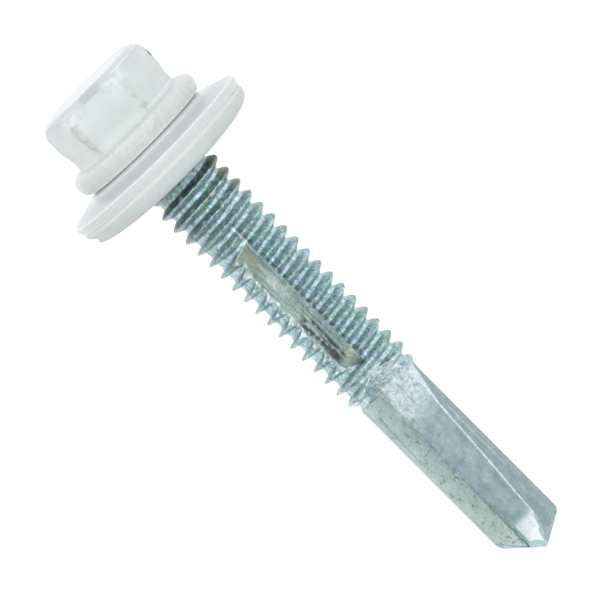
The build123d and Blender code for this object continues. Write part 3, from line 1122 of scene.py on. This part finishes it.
def speckled(n, shop, colour, amount):
    """Paint that is lumpy, with chalky spots and faint olive and lilac marks."""
    stain = n.ramp(
        n.noise(shop, 2.6, 4, 0.65),
        (0.3, (0.66, 0.69, 0.58)), (0.42, (0.73, 0.77, 0.745)),
        (0.62, (0.75, 0.79, 0.775)), (0.76, (0.68, 0.69, 0.745)),
    )
    spots = n.ramp(
        n.noise(shop, 3.4, 4, 0.7),
        (0.3, (0.78, 0.79, 0.77)), (0.43, (0.95, 0.96, 0.95)), (0.6, grey(1)), (0.7, grey(1.1)),
    )
    return n.mix(amount, colour, n.tint(stain, spots))


def painted(n, colour, fine, height):
    gloss = n.ease(fine, 0.3, 0.7, 0.3, 0.46)
    return n.surface(colour, gloss, n.bump(height, PAINT_BUMP, 0.7), Coat_Weight=0.3, Coat_Roughness=0.12)


def head_paint():
    n = material_nodes("white_paint")
    shop = n.attribute("shop")
    corner, rim, chip = n.parts(n.attribute("wear"))
    under, dents, folds = n.parts(n.attribute("shade"))
    painted_highlight, painted_shade_patch, veins = n.parts(n.attribute("look"))
    colour, fine, coarse = paint_base(n, shop)
    lumpy = n.math("MINIMUM", n.plus(n.times(corner, 0.8), n.times(rim, 0.75)), 1.0)
    # painted shade: the top of the head is darkened where it faces more of the light
    top = n.ease(n.parts(shop)[2], -4.9, -4.5, 1.0, 0.0)
    crease = n.times(n.ease(folds, 0.35, 0.8), n.patches(shop, 1.9, 0.42, 0.56))
    colour = n.cover(
        speckled(n, shop, colour, lumpy),
        (n.times(veins, n.patches(shop, 1.6, 0.38, 0.5), 0.8), (0.5, 0.51, 0.44)),
        # painted shade on the top of the head
        (n.times(top, 0.5), (0.64, 0.72, 0.735)),
        # a painted shade patch on the crown's brink
        (n.times(painted_shade_patch, 0.85), (0.53, 0.595, 0.61)),
        (n.times(crease, 0.6), (0.56, 0.58, 0.52)),
        (n.times(dents, n.ease(fine, 0.45, 0.6), 0.6), (0.9, 0.93, 0.95)),
        # painted light on the flange's underside, against the crevice's shade
        (under, (0.93, 0.94, 0.93)),
        # painted highlights along the head's edges
        (n.times(painted_highlight, n.patches(shop, 3.0, 0.36, 0.5, 0.6)), (0.93, 0.96, 0.99)),
        (n.ease(n.plus(chip, n.times(fine, 0.2)), 0.42, 0.62), (0.02, 0.022, 0.02)),
    )
    height = n.plus(n.times(fine, 0.35), n.times(coarse, n.plus(n.times(lumpy, 2.0), 0.25)))
    return painted(n, colour, fine, height)


def disc_paint():
    n = material_nodes("white_paint_disc")
    shop = n.attribute("shop")
    edge, rim, painted_shade_cone = n.parts(n.attribute("wear"))
    painted_light_crevice = n.parts(n.attribute("look"))[0]
    colour, fine, coarse = paint_base(n, shop)
    colour = n.cover(
        speckled(n, shop, colour, n.times(rim, 0.4)),
        # painted shade on the cone
        (n.times(painted_shade_cone, 0.9), (0.6, 0.605, 0.635)),
        # painted light in the crevice under the flange
        (painted_light_crevice, (0.96, 0.97, 0.98)),
        # painted highlight lines along the rim's corners
        (n.times(edge, n.patches(shop, 4.0, 0.36, 0.52, 0.25)), (0.99, 0.99, 0.99)),
    )
    height = n.plus(n.times(fine, 0.4), n.times(coarse, n.plus(rim, 0.2)))
    return painted(n, colour, fine, height)


ZINC = ((0.4, (0.33, 0.53, 0.47)), (0.5, (0.335, 0.52, 0.535)), (0.62, (0.42, 0.5, 0.62)))
MILLED = ((0.36, (0.19, 0.27, 0.25)), (0.5, (0.27, 0.38, 0.355)), (0.64, (0.42, 0.5, 0.45)))
# zinc of the drill's faces: copies of one plating, lighter or darker as painted light and shade for how each
# face is lit
LIP_ZINC = ((0.35, (0.3, 0.41, 0.43)), (0.65, (0.44, 0.57, 0.6)))
LIT_HEEL_ZINC = ((0.35, (0.4, 0.51, 0.47)), (0.65, (0.5, 0.6, 0.57)))
SHADED_LAND_ZINC = ((0.4, (0.22, 0.315, 0.31)), (0.6, (0.27, 0.375, 0.375)))
GRIT = ((0.37, grey(0.5)), (0.46, grey(0.86)), (0.55, grey(1.12)), (0.64, grey(1.5)))
TINTS = ((0.36, (1.04, 1.02, 0.94)), (0.5, grey(1)), (0.64, (1.03, 0.96, 1.07)))
# colours for the painted highlights and the lighter torn zinc
BRIGHT_ZINC_AND_HIGHLIGHTS = ((0.35, (0.4, 0.52, 0.54)), (0.5, (0.68, 0.78, 0.8)), (0.62, (0.9, 0.96, 0.97)))
ZINC_BUMP = 0.000045


def thread_zinc(n, shop):
    """Mottled plating, painted shade on the thread's flanks, painted light along its valleys, and worn
    crests.
    """
    cosine, sine, thread = n.parts(n.attribute("helix"))
    off = n.times(n.math("ARCTAN2", sine, cosine), PITCH / FULL_TURN)
    away = n.math("ABSOLUTE", off)
    start = n.ease(n.parts(shop)[2], 5.5, 8.0, 1.0, 0.3)
    # painted shade on the flank that faces the head, strongest on the first turns
    flank = n.times(n.ease(off, -0.42, -0.33), n.ease(off, -0.07, -0.03, 1.0, 0.0))
    # painted light along the thread's valleys
    valley = n.times(n.ease(away, 0.3, 0.44), n.patches(shop, 3.1, 0.42, 0.58, 0.1))
    worn = n.times(thread, start, n.patches(shop, 1.4, 0.4, 0.55))
    return n.cover(
        n.ramp(n.noise(shop, 2.3, 4, 0.65), *ZINC),
        (n.times(flank, thread, start, 0.8), (0.08, 0.145, 0.165)),
        (n.times(valley, thread, 0.6), (0.52, 0.65, 0.69)),
        (n.times(n.ease(away, 0.05, 0.11, 1.0, 0.0), worn, 0.85), (0.07, 0.08, 0.07)),
        (n.times(n.ease(away, 0.016, 0.04, 1.0, 0.0), worn, 0.9), (0.52, 0.57, 0.52)),
    )


def zinc():
    n = material_nodes("zinc_plating")
    shop = n.attribute("shop")
    highlights_and_wear, dirt_and_shade, olive = n.parts(n.attribute("marks"))
    slotted, lip_wall, heel_wall = n.parts(n.attribute("zones"))
    rake_highlight, painted_light_strip, land = n.parts(n.attribute("point"))
    cloud = n.noise(shop, 1.3)
    streak = n.noise(n.scaled(shop, 8.0, 8.0, 0.3), 1.0, 4, 0.65)
    fine = n.noise(shop, 4.0, 4, 0.75)
    colour = n.cover(
        thread_zinc(n, shop),
        (slotted, n.ramp(streak, *MILLED)),
        # painted light and shade: the drill's faces in lighter and darker copies of one zinc
        (lip_wall, n.ramp(cloud, *LIP_ZINC)),
        (heel_wall, n.ramp(cloud, *LIT_HEEL_ZINC)),
        (land, n.ramp(cloud, *SHADED_LAND_ZINC)),
    )

    # what was rolled is gritty and tinted, what was cut is smoother
    rolled = n.ease(n.parts(shop)[2], 21.7, 22.2, 1.0, 0.22)
    smooth = n.plus(n.times(slotted, 0.6), n.plus(n.times(lip_wall, 0.25), n.times(heel_wall, 0.2)))
    colour = n.mix(n.math("SUBTRACT", rolled, smooth, True), colour, n.tint(colour, n.ramp(fine, *GRIT)))
    tints = n.ramp(n.noise(shop, 2.4, 2, 0.5), *TINTS)
    colour = n.mix(rolled, colour, n.tint(colour, tints))

    pits = n.ease(n.noise(shop, 2.4, 4, 0.75), 0.395, 0.44, 0.7, 0.0)
    colour = n.cover(
        colour,
        (olive, n.mix(fine, (0.26, 0.29, 0.18), (0.46, 0.48, 0.36))),
        # painted highlights, with some lighter torn zinc
        (highlights_and_wear, n.ramp(fine, *BRIGHT_ZINC_AND_HIGHLIGHTS)),
        # a painted highlight on the rake face
        (rake_highlight, n.mix(fine, (0.78, 0.88, 0.9), (0.92, 0.97, 0.98))),
        # painted light along the point's lower edge
        (n.times(painted_light_strip, 0.85), n.mix(cloud, (0.36, 0.54, 0.56), (0.62, 0.76, 0.78))),
        # oil and burnt zinc, with painted shade
        (dirt_and_shade, n.mix(fine, (0.015, 0.02, 0.018), (0.12, 0.155, 0.15))),
        (n.times(pits, n.math("MAXIMUM", heel_wall, n.times(lip_wall, 0.3))), (0.16, 0.2, 0.17)),
    )
    grain = n.noise(shop, 4.5, 4, 0.65)
    height = n.plus(fine, n.times(grain, 0.8))
    rough = n.ease(grain, 0.3, 0.7, 0.22, 0.5)
    return n.surface(colour, rough, n.bump(height, ZINC_BUMP, 0.7), Metallic=0.8)


RUBBER = ((0.35, (0.65, 0.71, 0.69)), (0.65, (0.69, 0.74, 0.725)))
RUBBER_BUMP = 0.00003


def rubber():
    n = material_nodes("grey_rubber")
    shop = n.attribute("shop")
    foot, brow, painted_light_notch = n.parts(n.attribute("wear"))
    colour = n.cover(
        n.ramp(n.noise(shop, 0.6, 3, 0.55), *RUBBER),
        (n.ease(n.noise(shop, 5.0, 3, 0.65), 0.6, 0.68, 0.0, 0.5), (0.8, 0.83, 0.82)),
        (n.times(foot, 0.2), (0.58, 0.62, 0.6)),
        # painted light under the disc's rim
        (n.times(painted_light_notch, 0.6), (0.9, 0.92, 0.91)),
    )
    rough = n.ease(brow, 0.0, 1.0, 0.62, 0.5)
    return n.surface(colour, rough, n.bump(n.noise(shop, 6.0, 4, 0.6), RUBBER_BUMP, 0.5))


def camera_rays(n):
    """1 for what the camera sees, directly, in reflections or through glass."""
    path = n.new("ShaderNodeLightPath").outputs
    seen = n.math("MAXIMUM", path["Is Camera Ray"], path["Is Glossy Ray"])
    return n.math("MAXIMUM", seen, path["Is Transmission Ray"])


FLOOR_GLOW = 0.66
FLOOR_SIZE = 6


def floor_paint():
    n = material_nodes("floor_card")
    diffuse = n.new("ShaderNodeBsdfDiffuse", {"Color": grey(0.8)})
    glow = n.new("ShaderNodeEmission", {"Color": grey(1.0), "Strength": n.times(camera_rays(n), FLOOR_GLOW)})
    return n.finish(n.new("ShaderNodeAddShader", {0: diffuse.outputs[0], 1: glow.outputs[0]}).outputs[0])


# ---- pieces

DRESS = (
    (screw_head(), head_paint(), "screw", "white_paint", "screw"),
    (screw_shank(), zinc(), "screw", "zinc_plating", "screw"),
    (washer_plate(), disc_paint(), "washer_plate", "white_paint", "washer"),
    (washer_seal(), rubber(), "washer_seal", "grey_rubber", "washer"),
)
for piece, material, node, slot, body in DRESS:
    piece.data.materials.append(material)
    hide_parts(node)
    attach(piece, body)

bpy.ops.mesh.primitive_plane_add(size=FLOOR_SIZE, location=(0, 0, 0))
floor = bpy.context.active_object
floor.name = "floor"
floor.data.materials.append(floor_paint())


# ---- camera and light

PICTURE_PX = 600
TILT = radians(5.09)
ROLL = radians(45.1)
PX_PER_MM = 15.6
BEARING_PX = (143.9, 142.4)
LENS = 1400.0
SENSOR = 36.0
NEAR_CLIP = 0.001
FAR_CLIP = 20

toward = cos(VIEW_TURN) * SHOP[0] + sin(VIEW_TURN) * SHOP[1]
back = cos(TILT) * toward - sin(TILT) * AXIS
along = AXIS - (AXIS @ back) * back
along /= np.linalg.norm(along)
side = np.cross(back, along)
right = cos(ROLL) * along + sin(ROLL) * side
up = -sin(ROLL) * along + cos(ROLL) * side
mm_off = (PICTURE_PX / 2 - np.array(BEARING_PX)) / PX_PER_MM * MM
target = ORIGIN + mm_off[0] * right - mm_off[1] * up

lens = bpy.data.cameras.new("camera")
lens.lens = LENS
lens.sensor_width = SENSOR
lens.sensor_fit = "HORIZONTAL"
distance = PICTURE_PX / PX_PER_MM * MM * LENS / SENSOR
lens.clip_start = NEAR_CLIP
lens.clip_end = distance * FAR_CLIP
camera = put("camera", lens)
camera.matrix_world = Matrix([[*row, 0] for row in zip(right, up, back)] + [[0, 0, 0, 1]])
camera.location = Vector(target + back * distance)
scene.camera = camera


def lamp(name, direction, away, size, strength, colour=(1, 1, 1)):
    """A square softbox that faces the object, placed by right, up and back of the view."""
    data = bpy.data.lights.new(name, "AREA")
    data.shape = "SQUARE"
    data.size = size
    data.energy = strength * pi * size * size
    data.color = colour
    obj = put(name, data)
    place = direction[0] * right + direction[1] * up + direction[2] * back
    place /= np.linalg.norm(place)
    obj.location = Vector(place * away)
    obj.rotation_mode = "QUATERNION"
    obj.rotation_quaternion = Vector(place).to_track_quat("Z", "Y")


lamp("front", (-0.12, 0.15, 1.0), away=0.4, size=0.24, strength=2.15)
lamp("left", (-1.0, 0.45, 0.35), away=0.3, size=0.12, strength=0.6, colour=(1.0, 0.99, 0.97))
lamp("right", (0.9, 0.6, 0.45), away=0.35, size=0.16, strength=0.5, colour=(0.95, 0.99, 1.0))

WORLD_DIM = 0.74

scene.world = bpy.data.worlds.new("studio")
studio = Nodes(scene.world, "ShaderNodeOutputWorld")
dim = studio.new("ShaderNodeBackground", {"Color": (0.96, 0.985, 1.0), "Strength": WORLD_DIM})
white = studio.new("ShaderNodeBackground", {"Color": grey(1.0), "Strength": 1.0})
mixed = studio.new("ShaderNodeMixShader", {0: camera_rays(studio), 1: dim.outputs[0], 2: white.outputs[0]})
studio.finish(mixed.outputs[0])

scene.view_settings.view_transform = "Standard"
